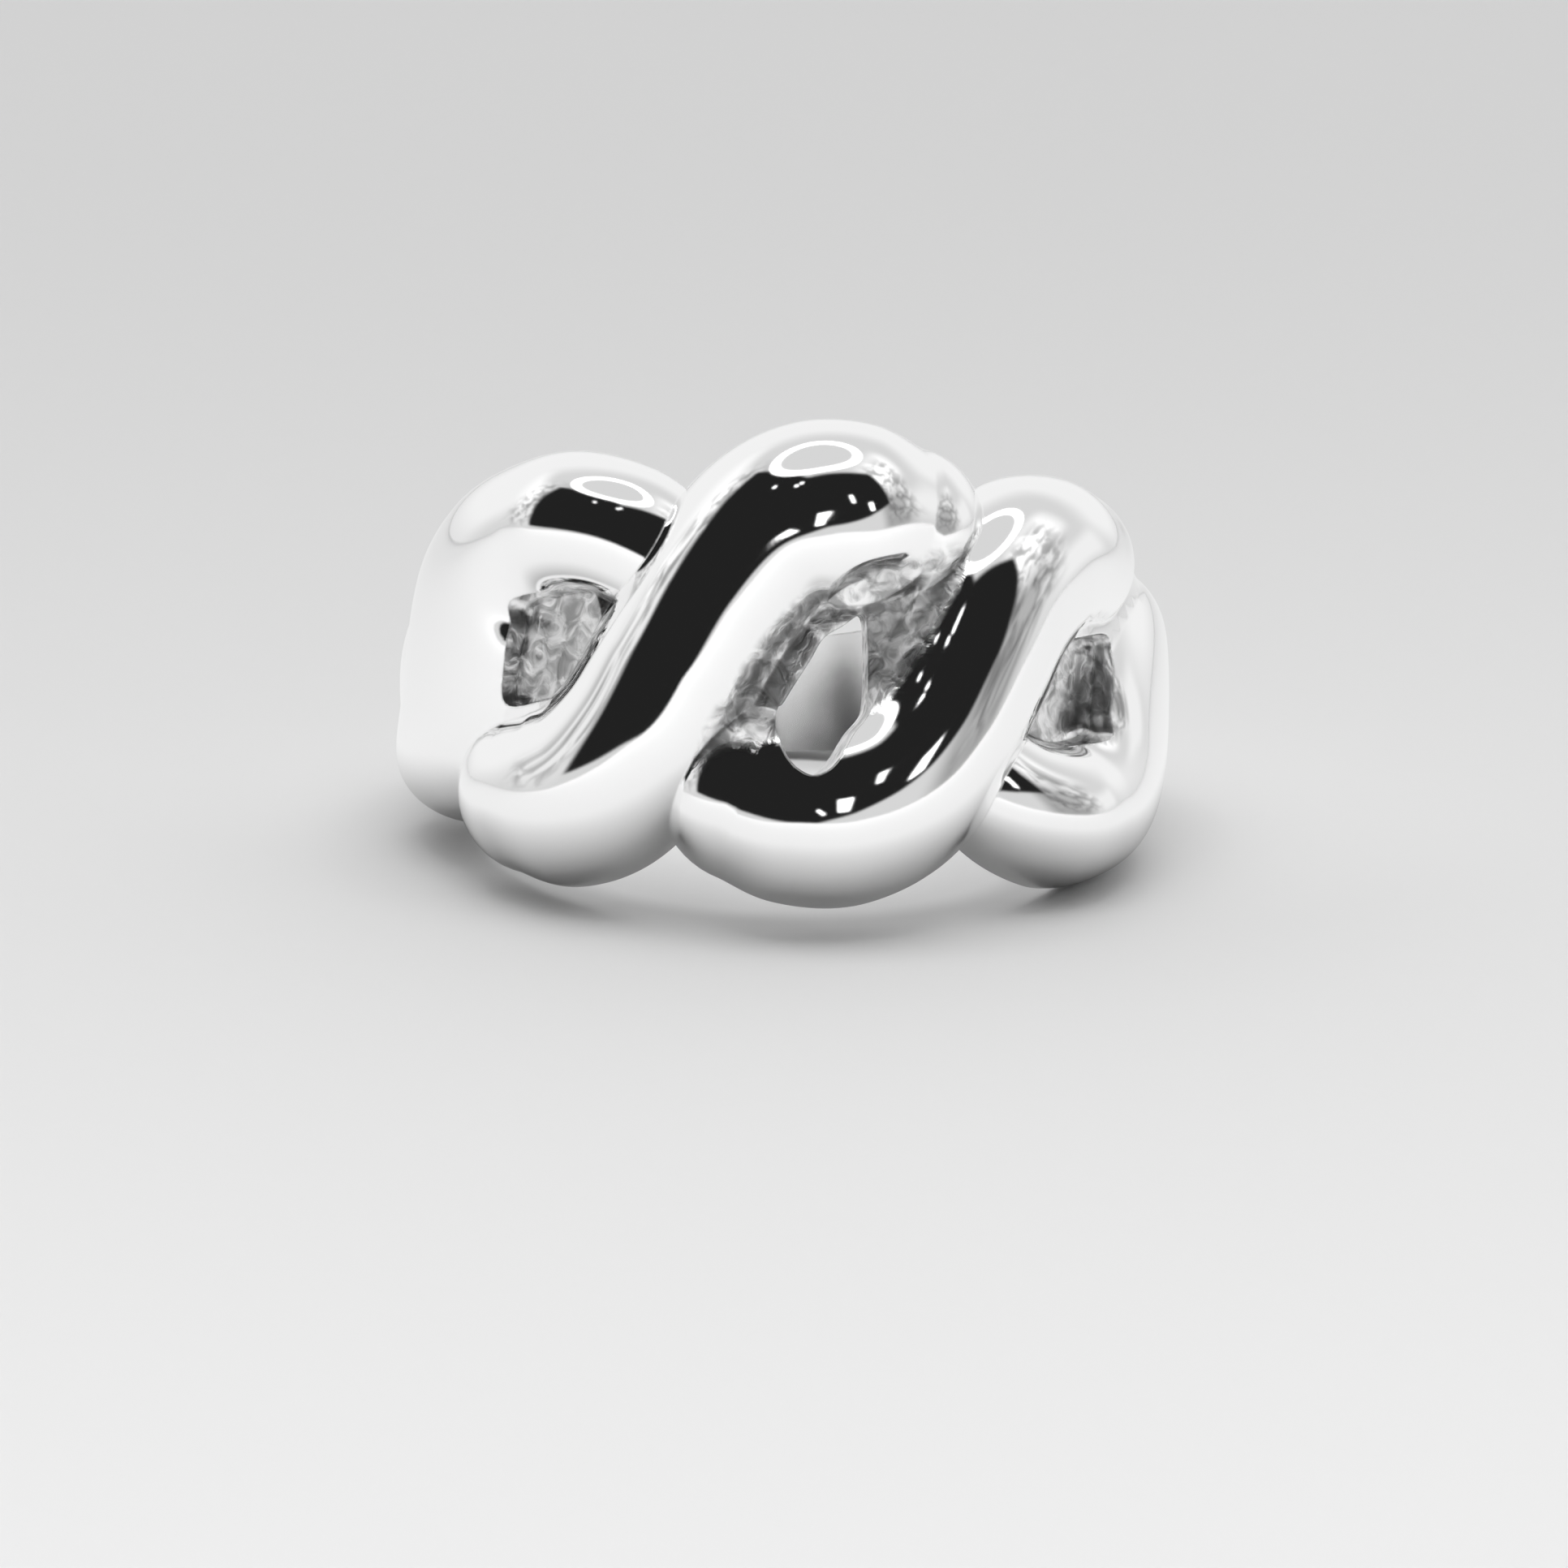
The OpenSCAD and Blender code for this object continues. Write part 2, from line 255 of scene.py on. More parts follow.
class StageLook(bpy.types.PropertyGroup):
    """Floor, light and camera"""

    azimuth: FloatProperty(
        name="Azimuth", description="Camera's angle round the ring, to the left of its front",
        default=math.radians(-8.7), subtype="ANGLE")
    elevation: FloatProperty(
        name="Elevation", description="Camera's angle above the floor",
        default=math.radians(15.49), subtype="ANGLE")
    roll: FloatProperty(
        name="Roll", description="Camera's turn about its own line of sight",
        default=math.radians(1.2), subtype="ANGLE")
    distance: FloatProperty(
        name="Distance", description="Distance of the camera from the ring",
        default=0.30, unit="LENGTH")
    frame_w: FloatProperty(
        name="Framed width", description="Width that the picture covers at the ring",
        default=47.17 * MM, unit="LENGTH")
    # Painted light: the floor's colour runs from this paler one in front of the ring to the dimmer one
    # behind it, as the light would fall.
    floor: FloatVectorProperty(
        name="Floor", description="Colour of the studio floor in front of the ring",
        default=(0.90, 0.90, 0.90, 1.0), size=4, subtype="COLOR", min=0, max=1)
    floor_far_shaded: FloatVectorProperty(
        name="Far floor", description="Colour of the studio floor behind the ring",
        default=(0.64, 0.64, 0.64, 1.0), size=4, subtype="COLOR", min=0, max=1)
    tent: FloatProperty(
        name="Tent", description="Brightness of the white light tent", default=0.70, min=0)
    dark: FloatProperty(
        name="Dark room", description="Brightness of the dark room behind the camera",
        default=0.016, min=0)
    fill: FloatProperty(
        name="Fill", description="Power of the soft light over the floor", default=4.2, unit="POWER")


def unit(v):
    """Vectors of an array brought to length one."""
    return v / np.linalg.norm(v, axis=-1, keepdims=True)


def radial(angle):
    """Outward direction at an angle in degrees from the front, level with the finger hole."""
    a = np.radians(angle)
    return np.stack([np.sin(a), -np.cos(a), np.zeros_like(a)], axis=-1)


def soft(u):
    """Smooth step of shares: 3u^2 - 2u^3, held at 0 and 1 outside."""
    u = np.clip(u, 0, 1)
    return u * u * (3 - 2 * u)


def wedge(angle):
    """Height of the ring at an angle in degrees, as a share of the front's."""
    return WEDGE_MEAN + WEDGE_SWING * np.cos(np.radians(angle))


def between(a, b, c, d, steps):
    """Rows of Catmull-Rom curves from each row of b to its mate in c, without the last.

    With a before b and d after c, the value at share t is half of
    2b + (c - a) t + (2a - 5b + 4c - d) t^2 + (3b - a - 3c + d) t^3.
    """
    a, b, c, d = (rows[:, None] for rows in (a, b, c, d))
    t = (np.arange(steps) / steps)[None, :, None]
    curve = (2 * b + (c - a) * t + (2 * a - 5 * b + 4 * c - d) * t ** 2
             + (3 * b - a - 3 * c + d) * t ** 3) / 2
    return curve.reshape(-1, curve.shape[-1])


def smooth_rows(table, steps):
    """Smooth curve through the rows of a table, with steps rows from each to the next."""
    rows = np.asarray(table, float)
    ends = np.vstack([2 * rows[0] - rows[1], rows, 2 * rows[-1] - rows[-2]])
    return np.vstack([between(*(ends[k:k + len(rows) - 1] for k in range(4)), steps), rows[-1]])


def closed_rows(table, steps):
    """Smooth closed curve through the rows of a table."""
    rows = np.asarray(table, float)
    return between(*(np.roll(rows, 1 - k, 0) for k in range(4)), steps)


def round_end(sections, tip):
    """Shares of the way out along a round end, close together at its tip."""
    return np.sin(np.linspace(0, 1, sections + 1)[1:] * math.pi / 2) * (1 - tip)


def strand(table, crown_r, steps, sides, caps=14, tip=0.0144):
    """Grid of a strand: an ellipse carried along the table's middle line.

    The middle line lies at crown radius - sink - half thickness. A section at parameter s is
    middle + w cos(s) side + t sin(s) outward, and a round end shrinks it by sqrt(1 - q^2) while
    it moves on by q half widths.
    """
    rows = smooth_rows(table, steps)
    out = radial(rows[:, ANGLE])
    reach = crown_r - rows[:, SINK] - rows[:, HALF_T]
    middle = reach[:, None] * out + np.outer(rows[:, RISE], [0, 0, 1])
    ahead = np.minimum(np.arange(len(rows)) + steps, len(rows) - 1)
    behind = np.maximum(np.arange(len(rows)) - steps, 0)
    way = middle[ahead] - middle[behind]
    way = unit(way - (way * out).sum(1, keepdims=True) * out)
    side = np.cross(way, out)
    q = round_end(caps, tip)
    index = np.concatenate([np.zeros(caps, int), np.arange(len(rows)), np.full(caps, len(rows) - 1)])
    along = np.concatenate([-q[::-1], np.zeros(len(rows)), q])
    shrink = np.sqrt(1 - along ** 2)
    half_w, half_t = rows[index, HALF_W], rows[index, HALF_T]
    centre = middle[index] + (along * half_w)[:, None] * way[index]
    s = np.arange(sides) * 2 * math.pi / sides
    wide = (shrink * half_w)[:, None, None] * np.cos(s)[None, :, None] * side[index][:, None]
    deep = (shrink * half_t)[:, None, None] * np.sin(s)[None, :, None] * out[index][:, None]
    return centre[:, None] + wide + deep


def band_grid(sizes, sides=72, sections=220, caps=20, tip=0.005):
    """Grid of the band: a low dome outside the finger hole, carried round it.

    Its half height follows the wedge and runs into the plain back's. Its section is a superellipse,
    flattened at the two round ends.
    """
    bore_r, wall = sizes.bore_d / MM / 2, (sizes.crown_d - sizes.bore_d) / MM / 2
    half_h = sizes.front_h / MM / 2 * BAND_SHARE
    back_h, back_t = sizes.back_h / MM, sizes.back_t / MM
    first = math.degrees(sizes.band_start) + BAND_CAP
    q = round_end(caps, tip)
    angle = np.concatenate([first - BAND_CAP * q[::-1],
                            np.linspace(first, 360 - first, sections),
                            360 - first + BAND_CAP * q])
    share = np.sqrt(1 - np.concatenate([q[::-1], np.zeros(sections), q]) ** 2)
    behind = (1 - np.cos(np.radians(angle))) / 2
    rise = half_h * wedge(angle) + (back_h / 2 - half_h * wedge(180)) * behind ** 2
    full = soft((wedge(angle) - wedge(180)) / (wedge(BAND_FULL_ANGLE) - wedge(180)))
    deep = back_t + (wall - back_t) * full + BAND_INSET
    from_front = np.degrees(np.arccos(np.cos(np.radians(angle))))
    aside = soft((from_front - ASIDE_FROM) / (ASIDE_TO - ASIDE_FROM))
    dome = deep * (BAND_EDGE + (1 - BAND_EDGE) * share) * (DOME_FRONT + (DOME_SIDE - DOME_FRONT) * aside)
    rise = rise * share * (RISE_FRONT + (1 - RISE_FRONT) * aside)
    s = np.arange(sides) * 2 * math.pi / sides
    out = np.sign(np.cos(s)) * np.abs(np.cos(s)) ** BAND_ROUND
    up = np.sign(np.sin(s)) * np.abs(np.sin(s)) ** BAND_ROUND
    reach = bore_r - BAND_INSET + np.where(out > 0, dome[:, None], BAND_INSET) * out
    grid = reach[..., None] * radial(angle)[:, None]
    grid[..., 2] += rise[:, None] * up
    return grid


def opening(table, angle, radii, steps=6):
    """Grid of a cutter for an opening: its floor at the first two radii, its rim at the last two.

    In between the wall is steep at the rim and flatter below.
    """
    curve = closed_rows(table, steps)
    out = radial(np.array(float(angle)))
    side = np.array([-out[1], out[0], 0])
    rings = []
    for radius, share in zip(radii, DEPTH_SHARES):
        across, up = ((1 - share) * curve[:, :2] + share * curve[:, 2:]).T
        rings.append(radius * out + across[:, None] * side + up[:, None] * np.array([0, 0, 1]))
    return np.stack(rings)


def half_turned(grid):
    """A grid turned half round the front's middle."""
    return grid * np.array([-1, 1, -1])


def skin(grid, name):
    """Closed mesh over a grid of sections, with a fan of triangles over each end."""
    rows, sides = grid.shape[:2]
    points = np.vstack([grid.reshape(-1, 3), grid[0].mean(0), grid[-1].mean(0)])
    i, s = np.meshgrid(np.arange(rows - 1), np.arange(sides), indexing="ij")
    t = (s + 1) % sides
    walls = np.stack([i * sides + s, (i + 1) * sides + s, (i + 1) * sides + t, i * sides + t], -1)
    k = np.arange(sides)
    n = (k + 1) % sides
    head = np.stack([np.full(sides, rows * sides), k, n], -1)
    tail = np.stack([np.full(sides, rows * sides + 1), (rows - 1) * sides + n, (rows - 1) * sides + k], -1)
    faces = walls.reshape(-1, 4).tolist() + head.tolist() + tail.tolist()
    mesh = bpy.data.meshes.new(name)
    mesh.from_pydata(points.tolist(), [], faces)
    mesh.update()
    return mesh


def combine(target, others, operation):
    """Boolean of one object with others, baked into its mesh. The others are removed."""
    for other in others:
        step = target.modifiers.new("Join", "BOOLEAN")
        step.operation = operation
        step.solver = "MANIFOLD"
        step.object = other
    depsgraph = bpy.context.evaluated_depsgraph_get()
    baked = bpy.data.meshes.new_from_object(target.evaluated_get(depsgraph))
    target.modifiers.clear()
    target.data = baked
    for other in others:
        bpy.data.objects.remove(other, do_unlink=True)


def new_object(name, mesh):
    """An object for a mesh, in the scene."""
    made = bpy.data.objects.new(name, mesh)
    bpy.context.scene.collection.objects.link(made)
    return made


# Where the finish changes, in millimetres: the wall of the finger hole, the depth under which the
# front keeps its cast skin and its painted shade, the height up to which it does, how far before
# the axis it begins, and where and by how much that depth lies lower in the recesses at the sides
BORE_WALL = (8.77, 8.85)
SKIN_RADIUS = (10.7, 10.95)
SKIN_HEIGHT = (3.1, 3.6)
SKIN_FRONT = (3.5, 4.5)
SKIN_ASIDE = (3.8, 4.8)
SKIN_LOWER = 0.6

# Noises of the finish: scale in waves to the millimetre, detail and distortion. The first is left by
# polishing, the second is the cast skin's and also mottles the painted shade in the recesses.
WAVES = (0.45, 1.0, 0.0)
RIPPLES = (1.7, 3.0, 1.0)

# Painted shade in the recesses, mottled by the cast skin's noise: where in that noise the mottle
# turns, how far its low and high places are darkened, and the dark grey painted there
MOTTLE_EDGES = (0.32, 0.66)
RECESS_SHADE_SHARES = (0.75, 0.0)
RECESS_SHADE = (0.2, 0.2, 0.2, 1.0)
RIM_SAMPLES = 2


def math_node(nodes, links, operation, *values):
    """Math node of an operation over numbers or sockets."""
    node = nodes.new("ShaderNodeMath")
    node.operation = operation
    for socket, value in zip(node.inputs, values):
        if isinstance(value, (int, float)):
            socket.default_value = value
        else:
            links.new(value, socket)
    return node.outputs[0]


def step_node(nodes, links, value, edges, rising=True):
    """Smooth step between two values, rising from 0 to 1 or falling from 1 to 0."""
    node = nodes.new("ShaderNodeMapRange")
    node.interpolation_type = "SMOOTHSTEP"
    links.new(value, node.inputs["Value"])
    node.inputs["From Min"].default_value, node.inputs["From Max"].default_value = edges
    node.inputs["To Min"].default_value = 0.0 if rising else 1.0
    node.inputs["To Max"].default_value = 1.0 if rising else 0.0
    return node.outputs["Result"]


def vector_node(nodes, links, operation, first, second):
    """Vector math node over two sockets or vectors."""
    node = nodes.new("ShaderNodeVectorMath")
    node.operation = operation
    for socket, value in zip(node.inputs, (first, second)):
        if isinstance(value, tuple):
            socket.default_value = value
        else:
            links.new(value, socket)
    return node


def noise_node(nodes, links, where, scale, detail, distortion):
    """Noise at a place, from 0 to 1."""
    node = nodes.new("ShaderNodeTexNoise")
    links.new(where, node.inputs["Vector"])
    node.inputs["Scale"].default_value = scale
    node.inputs["Detail"].default_value = detail
    node.inputs["Distortion"].default_value = distortion
    return node.outputs["Fac"]


def place_group(centre, lean):
    """Node group: masks of the finger hole's wall and of the front's cast recesses.

    Both follow from the place in the ring's own frame: its distance from the finger hole's axis,
    its height along it and its distance before it, in millimetres.
    """
    group = bpy.data.node_groups.new("Ring Places", "ShaderNodeTree")
    face = group.interface
    face.new_socket("Millimetres", in_out="OUTPUT", socket_type="NodeSocketVector")
    face.new_socket("Bore", in_out="OUTPUT", socket_type="NodeSocketFloat")
    face.new_socket("Recess", in_out="OUTPUT", socket_type="NodeSocketFloat")
    nodes, links = group.nodes, group.links
    put = nodes.new("NodeGroupOutput")
    axis = (0.0, math.sin(lean), math.cos(lean))
    forward = (0.0, -math.cos(lean), math.sin(lean))
    where = nodes.new("ShaderNodeTexCoord").outputs["Object"]
    local = vector_node(nodes, links, "SUBTRACT", where, tuple(float(v) for v in centre)).outputs[0]
    local = vector_node(nodes, links, "MULTIPLY", local, (1 / MM, 1 / MM, 1 / MM)).outputs[0]
    height = vector_node(nodes, links, "DOT_PRODUCT", local, axis).outputs["Value"]
    before = vector_node(nodes, links, "DOT_PRODUCT", local, forward).outputs["Value"]
    square = vector_node(nodes, links, "DOT_PRODUCT", local, local).outputs["Value"]
    radius = math_node(nodes, links, "SQRT", math_node(
        nodes, links, "SUBTRACT", square, math_node(nodes, links, "MULTIPLY", height, height)))
    off_axis = math_node(nodes, links, "ABSOLUTE", height)
    bore = step_node(nodes, links, radius, BORE_WALL, rising=False)
    across = math_node(nodes, links, "ABSOLUTE", vector_node(
        nodes, links, "DOT_PRODUCT", local, (1.0, 0.0, 0.0)).outputs["Value"])
    lower = math_node(nodes, links, "MULTIPLY", step_node(nodes, links, across, SKIN_ASIDE), SKIN_LOWER)
    deep = step_node(nodes, links, math_node(nodes, links, "ADD", radius, lower), SKIN_RADIUS,
                     rising=False)
    level = step_node(nodes, links, off_axis, SKIN_HEIGHT, rising=False)
    ahead = step_node(nodes, links, before, SKIN_FRONT)
    recess = math_node(nodes, links, "MULTIPLY", deep, math_node(nodes, links, "MULTIPLY", level, ahead))
    outside = math_node(nodes, links, "SUBTRACT", 1.0, bore)
    recess = math_node(nodes, links, "MULTIPLY", recess, outside)
    links.new(local, put.inputs["Millimetres"])
    links.new(bore, put.inputs["Bore"])
    links.new(recess, put.inputs["Recess"])
    return group


def mixed(nodes, links, factor, low, high):
    """Number between two others by a factor."""
    node = nodes.new("ShaderNodeMix")
    node.data_type = "FLOAT"
    links.new(factor, node.inputs["Factor"])
    for socket, value in ((node.inputs[2], low), (node.inputs[3], high)):
        if isinstance(value, (int, float)):
            socket.default_value = value
        else:
            links.new(value, socket)
    return node.outputs[0]


def silver(look, centre, lean):
    """Silver: mirror-polished outside, satin in the finger hole, cast skin in the recesses, darkened there
    with painted shade.
    """
    material = bpy.data.materials.new("Polished Silver")
    material.use_nodes = True
    nodes, links = material.node_tree.nodes, material.node_tree.links
    shader = nodes["Principled BSDF"]
    shader.inputs["Metallic"].default_value = 1.0
    places = nodes.new("ShaderNodeGroup")
    places.node_tree = place_group(centre, lean)
    where, bore, recess = (places.outputs[name] for name in ("Millimetres", "Bore", "Recess"))
    waves = noise_node(nodes, links, where, *WAVES)
    ripples = noise_node(nodes, links, where, *RIPPLES)
    rough = mixed(nodes, links, bore, mixed(nodes, links, recess, look.roughness, look.cast), look.satin)
    links.new(rough, shader.inputs["Roughness"])
    # Painted shade: the recesses' colour is darkened towards a dark grey, in a mottle from the ripples.
    mottle = step_node(nodes, links, ripples, MOTTLE_EDGES)
    painted_shade = math_node(nodes, links, "MULTIPLY", recess, mixed(nodes, links, mottle, *RECESS_SHADE_SHARES))
    shade_tint = nodes.new("ShaderNodeMix")
    shade_tint.data_type = "RGBA"
    links.new(painted_shade, shade_tint.inputs["Factor"])
    shade_tint.inputs[6].default_value = look.colour
    shade_tint.inputs[7].default_value = RECESS_SHADE
    links.new(shade_tint.outputs[2], shader.inputs["Base Color"])
    height = math_node(nodes, links, "ADD", math_node(nodes, links, "MULTIPLY", waves, look.wave_depth),
                       math_node(nodes, links, "MULTIPLY", ripples, math_node(
                           nodes, links, "MULTIPLY", recess, look.skin_depth)))
    broken = nodes.new("ShaderNodeBevel")
    broken.samples = RIM_SAMPLES
    broken.inputs["Radius"].default_value = look.rim
    bump = nodes.new("ShaderNodeBump")
    bump.inputs["Strength"].default_value = 1.0
    bump.inputs["Distance"].default_value = 1.0
    links.new(height, bump.inputs["Height"])
    links.new(broken.outputs["Normal"], bump.inputs["Normal"])
    links.new(bump.outputs["Normal"], shader.inputs["Normal"])
    return material


def resting_lean(sizes):
    """Angle by which the ring leans back until the front's lowest lobes and the back's edge are level."""
    rest = (REST_FRONT * sizes.crown_d + sizes.bore_d) / 2 + REST_BACK * sizes.back_t
    return math.atan((sizes.front_h - sizes.back_h) / 2 / rest)


def leaned(points, lean):
    """Points turned back about the X axis."""
    x, y, z = points.T
    return np.stack([x, y * math.cos(lean) + z * math.sin(lean),
                     z * math.cos(lean) - y * math.sin(lean)], -1)


class RING_OT_casting(bpy.types.Operator):
    """Cast the ring: links, prongs and band, joined, cut, drilled through and leaned"""

    bl_idname = "ring.casting"
    bl_label = "Cast Ring"

    def execute(self, context):
        sizes = context.scene.ring_sizes
        crown_r, steps, sides = sizes.crown_d / MM / 2, sizes.steps, sizes.sides
        left = strand(LEFT_LINK, crown_r, steps, sides)
        right = half_turned(strand(RIGHT_LINK, crown_r, steps, sides))
        hook = strand(HOOK_END, crown_r, steps, sides)
        prong_l = strand(LEFT_PRONG, crown_r, steps, sides)
        prong_r = half_turned(strand(RIGHT_PRONG, crown_r, steps, sides))
        band = band_grid(sizes)
        web = strand(WEB, crown_r, steps, sides)
        pocket = opening(SIDE_POCKET, POCKET_ANGLE, POCKET_RADII)
        shank = self.solid("shank", [band, prong_l, prong_r])
        combine(shank, [new_object("pocket_l", skin(pocket, "pocket_l")),
                        new_object("pocket_r", skin(half_turned(pocket), "pocket_r"))], "DIFFERENCE")
        ring = self.solid("links", [left, right, hook, half_turned(hook), web])
        through = opening(CENTRE_OPENING, 0, CENTRE_RADII)
        combine(ring, [new_object("through", skin(through, "through"))], "DIFFERENCE")
        combine(ring, [shank], "UNION")
        turns = np.linspace(0, 2 * math.pi, DRILL_SIDES, endpoint=False)
        circle = np.stack([np.cos(turns), np.sin(turns), np.zeros_like(turns)], -1) * sizes.bore_d / MM / 2
        drill = np.stack([circle + [0, 0, z] for z in (DRILL_REACH, -DRILL_REACH)])
        combine(ring, [new_object("drill", skin(drill, "drill"))], "DIFFERENCE")
        count = len(ring.data.vertices)
        points = np.empty(count * 3)
        ring.data.vertices.foreach_get("co", points)
        lean = resting_lean(sizes)
        placed = leaned(points.reshape(-1, 3), lean)
        low, high = placed.min(0), placed.max(0)
        centre = np.array([0, -(low[1] + high[1]) / 2, -low[2]])
        placed += centre
        ring.data.vertices.foreach_set("co", (placed * MM).ravel())
        ring.data.update()
        ring.name = "silver_ring"
        ring.data.name = "silver_ring"
        ring.data.shade_smooth()
        ring.data.set_sharp_from_angle(angle=SHARP_ANGLE)
        ring.data.materials.clear()
        ring.data.materials.append(silver(context.scene.silver_look, centre * MM, lean))
        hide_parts(NODE)
        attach(ring, "root")
        return {"FINISHED"}

    def solid(self, name, grids):
        """One solid from the skins of several grids."""
        made = [new_object(f"{name}_{k}", skin(grid, f"{name}_{k}")) for k, grid in enumerate(grids)]
        combine(made[0], made[1:], "UNION")
        return made[0]


def direction(azimuth, elevation):
    """Unit vector towards a place in the studio: azimuth 0 is in front of the ring, 90 to its right."""
    a, e = math.radians(azimuth), math.radians(elevation)
    return (math.sin(a) * math.cos(e), -math.cos(a) * math.cos(e), math.sin(e))


def edge_group():
    """Node group: 1 on the pole's side of a circle, 0 on the other, soft between.

    The offset is the cosine of the circle's radius about its pole, 0 for a great circle.
    """
    group = bpy.data.node_groups.new("Card Edge", "ShaderNodeTree")
    face = group.interface
    face.new_socket("Direction", in_out="INPUT", socket_type="NodeSocketVector")
    face.new_socket("Pole", in_out="INPUT", socket_type="NodeSocketVector")
    face.new_socket("Softness", in_out="INPUT", socket_type="NodeSocketFloat")
    face.new_socket("Offset", in_out="INPUT", socket_type="NodeSocketFloat")
    face.new_socket("Mask", in_out="OUTPUT", socket_type="NodeSocketFloat")
    nodes, links = group.nodes, group.links
    given, put = nodes.new("NodeGroupInput"), nodes.new("NodeGroupOutput")
    dot = nodes.new("ShaderNodeVectorMath")
    dot.operation = "DOT_PRODUCT"
    links.new(given.outputs["Direction"], dot.inputs[0])
    links.new(given.outputs["Pole"], dot.inputs[1])
    low = math_node(nodes, links, "SUBTRACT", given.outputs["Offset"], given.outputs["Softness"])
    high = math_node(nodes, links, "ADD", given.outputs["Offset"], given.outputs["Softness"])
    ramp = nodes.new("ShaderNodeMapRange")
    ramp.interpolation_type = "SMOOTHSTEP"
    links.new(dot.outputs["Value"], ramp.inputs["Value"])
    links.new(low, ramp.inputs["From Min"])
    links.new(high, ramp.inputs["From Max"])
    links.new(ramp.outputs["Result"], put.inputs["Mask"])
    return group


def edge_pole(start, end):
    """Pole of the great circle that runs through two places, each an azimuth and an elevation.

    The pole is their cross product, so the card lies to the left of the way from start to end.
    """
    return tuple(unit(np.cross(direction(*start), direction(*end))))


# The dark room behind the camera, seen through the front of the light tent, as two cards that
# overlap. Each edge runs through two places, and its softness comes last.
BOTTOM = ((-80, 5), (5, -3), 0.012)
LEFT = ((-100, 58), (-76, 10), 0.05)
DARK_CARDS = [
    [BOTTOM, ((0, 2), (45, 21), 0.02), ((53, 20), (53, 55), 0.03), ((52, 56), (0, 65), 0.03), LEFT],
    [BOTTOM, ((0, 2), (45, 21), 0.02), ((-5, 63), (-60, 71.5), 0.02), LEFT],
]


def card_edges(azimuth, elevation, half_w, half_h, turn):
    """Poles of the four edges of a card that hangs round a direction, half widths in degrees."""
    c = np.array(direction(azimuth, elevation))
    right = unit(np.cross([0, 0, 1], c))
    up = np.cross(c, right)
    t = math.radians(turn)
    right, up = right * math.cos(t) + up * math.sin(t), up * math.cos(t) - right * math.sin(t)
    w, h = math.radians(half_w), math.radians(half_h)
    return [tuple(c * math.sin(w) + right * math.cos(w)), tuple(c * math.sin(w) - right * math.cos(w)),
            tuple(c * math.sin(h) + up * math.cos(h)), tuple(c * math.sin(h) - up * math.cos(h))]


# Cards of the studio: azimuth, elevation, half width, half height, turn, softness, brightness
SOFTNESS, BRIGHT = 5, 6
GREY_CARDS = [
    (58, 14, 14, 16, 0, 0.12, 0.38),
]
BRIGHT_CARDS = [
    (-125, 38, 22, 15, 0, 0.12, 1.1),
    (75, 52, 17, 14, 0, 0.1, 1.05),
    (95, 12, 12, 10, 0, 0.1, 0.9),
    (180, 28, 65, 26, 0, 0.2, 0.92),
]

# Small lamps in the dark room, in the same columns
LAMPS = [
    (8, 17, 1.8, 6, 0, 0.01, 3.0),
    (-2, 11, 1.2, 3, 39, 0.01, 2.5),
    (32, 24.5, 1.8, 4, 0, 0.01, 3.0),
    (19.5, 34, 1.0, 4, 0, 0.01, 2.5),
    (-12, 59, 0.9, 0.9, 0, 0.006, 3.0),
    (-16, 57, 0.9, 0.9, 0, 0.006, 3.0),
    (-41, 59, 0.9, 0.9, 0, 0.006, 3.0),
]

# Ring light overhead: cosines of its outer and inner radius, softness and brightness
RING_LIGHT = (0.930, 0.956, 0.004, 3.0)

# Creased cloth of the tent beside the dark room's door, in the cards' columns up to the softness
CREASES = [
    (-92, 36, 15, 30, 0, 0.15),
    (66, 34, 16, 28, 0, 0.12),
]

# The creases' noise, its edges, and the cloth's shares of brightness in and out of them
CREASE_NOISE = (9.0, 3.0, 0.6)
CREASE_EDGES = (0.35, 0.65)
CREASE_SHARES = (0.5, 1.25)

# Backdrop that the camera sees past the floor
BACKDROP = (0.64, 0.64, 0.64, 1)


